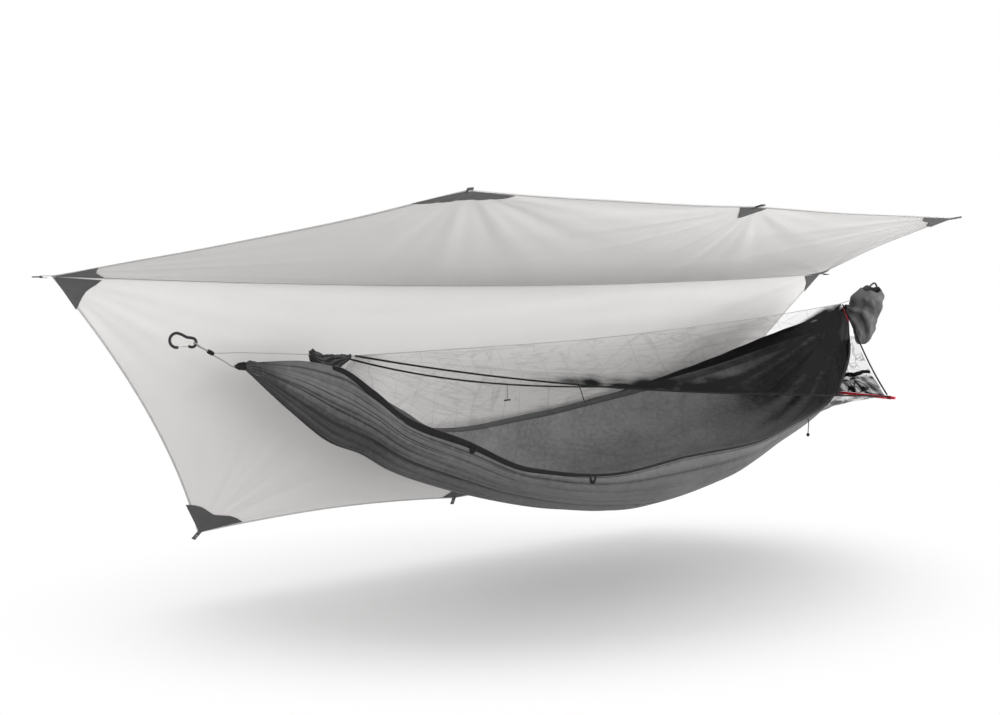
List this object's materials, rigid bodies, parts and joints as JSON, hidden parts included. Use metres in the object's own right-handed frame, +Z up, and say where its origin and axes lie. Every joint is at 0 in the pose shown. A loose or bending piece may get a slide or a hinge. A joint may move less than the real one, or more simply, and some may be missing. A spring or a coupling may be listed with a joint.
{
  "type": "hammock tent",
  "caption": "Gathered-end hammock with a bug-net canopy on a ridgeline, a head-end spreader rod and a six-sided tarp pitched above it.",
  "frame": {"origin": "point where the foot carabiner's big bow hangs on its line", "axes": "+X from the foot end to the head end along the hammock, +Z up, -Y the side with the raised tarp panel that people get in from"},
  "size_m": [3.4702, 1.5362, 1.1673],
  "materials": {
    "hull": "woven ripstop cloth",
    "net": "fine mesh",
    "black": "black webbing and piping",
    "cord": "braided cord",
    "metal": "dark anodised",
    "wire": "drawn wire",
    "red": "red anodised tube",
    "tape": "red tape",
    "plastic": "moulded",
    "sack": "thin cloth",
    "tarp": "thin coated cloth",
    "patch": "doubled cloth",
    "webbing": "woven tape"
  },
  "bodies": {
    "hammock": {"end_band": "black", "far_edge_binding": "black", "far_seam": "black", "far_toggle": "plastic", "far_toggle_cord": "cord", "far_zip_band": "black", "foot_body_cord": "cord", "foot_bunch": "net", "foot_carabiner": "metal", "foot_cord_loop": "cord", "foot_sleeve": "black", "foot_whipping": "black", "hammock_body": "hull", "head_body_cord": "cord", "head_carabiner": "metal", "head_cord_loop": "cord", "head_marker": "tape", "head_sleeve": "black", "head_tie_cord": "black", "head_tie_knot": "black", "head_whipping": "black", "near_edge_binding": "black", "near_hem_loop_foot": "black", "near_hem_loop_head": "black", "near_seam": "black", "near_toggle": "plastic", "near_toggle_cord": "black", "near_zip_band": "black", "net_end_panel": "net", "net_floor": "net", "net_roof_far": "net", "net_roof_near": "net", "net_wall_far": "net", "net_wall_near": "net", "ridgeline": "cord", "rod_pocket_far": "black", "rod_pocket_near": "black"},
    "foot_gate": {"foot_gate": "wire"},
    "head_gate": {"head_gate": "wire"},
    "rod": {"spreader_rod": "red"},
    "zip": {"zip_slider": "metal"},
    "sack": {"stuff_sack": "sack", "sack_drawcord": "black", "cord_lock": "plastic"},
    "sack_button": {"cord_lock_button": "plastic"},
    "tarp": {"tarp_ridge_seam": "webbing"},
    "tarp_near": {"tarp_panel_near": "tarp", "near_foot_tie_out": "patch", "near_side_tie_out": "patch", "near_head_tie_out": "patch", "ridge_patch_near_foot": "patch", "ridge_patch_near_head": "patch"},
    "tarp_far": {"tarp_panel_far": "tarp", "far_foot_tie_out": "patch", "far_side_tie_out": "patch", "far_head_tie_out": "patch", "ridge_patch_far_foot": "patch", "ridge_patch_far_head": "patch"},
    "ring_foot": {"ridge_ring_foot": "wire"},
    "ring_head": {"ridge_ring_head": "wire"}
  },
  "joints": [
    {"name": "foot_gate_hinge", "type": "hinge", "parent": "hammock", "child": "foot_gate", "pos_m": [0.04637, 0, -0.02182], "axis": [0, 1, 0], "range_deg": [0, 25], "stiffness_Nm_per_rad": 0.05, "springref_deg": -17.19},
    {"name": "head_gate_hinge", "type": "hinge", "parent": "hammock", "child": "head_gate", "pos_m": [3.12363, 0, 0.07318], "axis": [0, -1, 0], "range_deg": [0, 25], "stiffness_Nm_per_rad": 0.05, "springref_deg": -17.19},
    {"name": "rod_slide", "type": "slide", "parent": "hammock", "child": "rod", "axis": [0, -1, 0], "range_m": [0, 0.7]},
    {"name": "zip_slide", "type": "slide", "parent": "hammock", "child": "zip", "axis": [0.9851, -0.0878, 0.1479], "range_m": [-0.03, 0.03]},
    {"name": "sack_swing", "type": "hinge", "parent": "hammock", "child": "sack", "pos_m": [3.003, 0, 0.0455], "axis": [0, -1, 0], "range_deg": [-2, 20]},
    {"name": "sack_button_press", "type": "slide", "parent": "sack", "child": "sack_button", "axis": [0, 0, 1], "range_m": [0, 0.003], "stiffness_N_per_m": 200, "springref_m": -0.001},
    {"name": "tarp_lift", "type": "slide", "parent": "hammock", "child": "tarp", "axis": [0, 0, 1], "range_m": [0, 0.3]},
    {"name": "near_panel_pitch", "type": "hinge", "parent": "tarp", "child": "tarp_near", "pos_m": [1.41, 0.194, 0.118], "axis": [1, 0, 0], "range_deg": [0, 40]},
    {"name": "far_panel_pitch", "type": "hinge", "parent": "tarp", "child": "tarp_far", "pos_m": [1.41, 0.206, 0.165], "axis": [1, 0, 0], "range_deg": [0, 70]},
    {"name": "foot_ring_swing", "type": "hinge", "parent": "tarp", "child": "ring_foot", "pos_m": [-0.268, 0.2, 0.1625], "axis": [0, 1, 0], "range_deg": [-80, 80]},
    {"name": "head_ring_swing", "type": "hinge", "parent": "tarp", "child": "ring_head", "pos_m": [3.088, 0.2, 0.1455], "axis": [0, 1, 0], "range_deg": [-80, 80]}
  ]
}
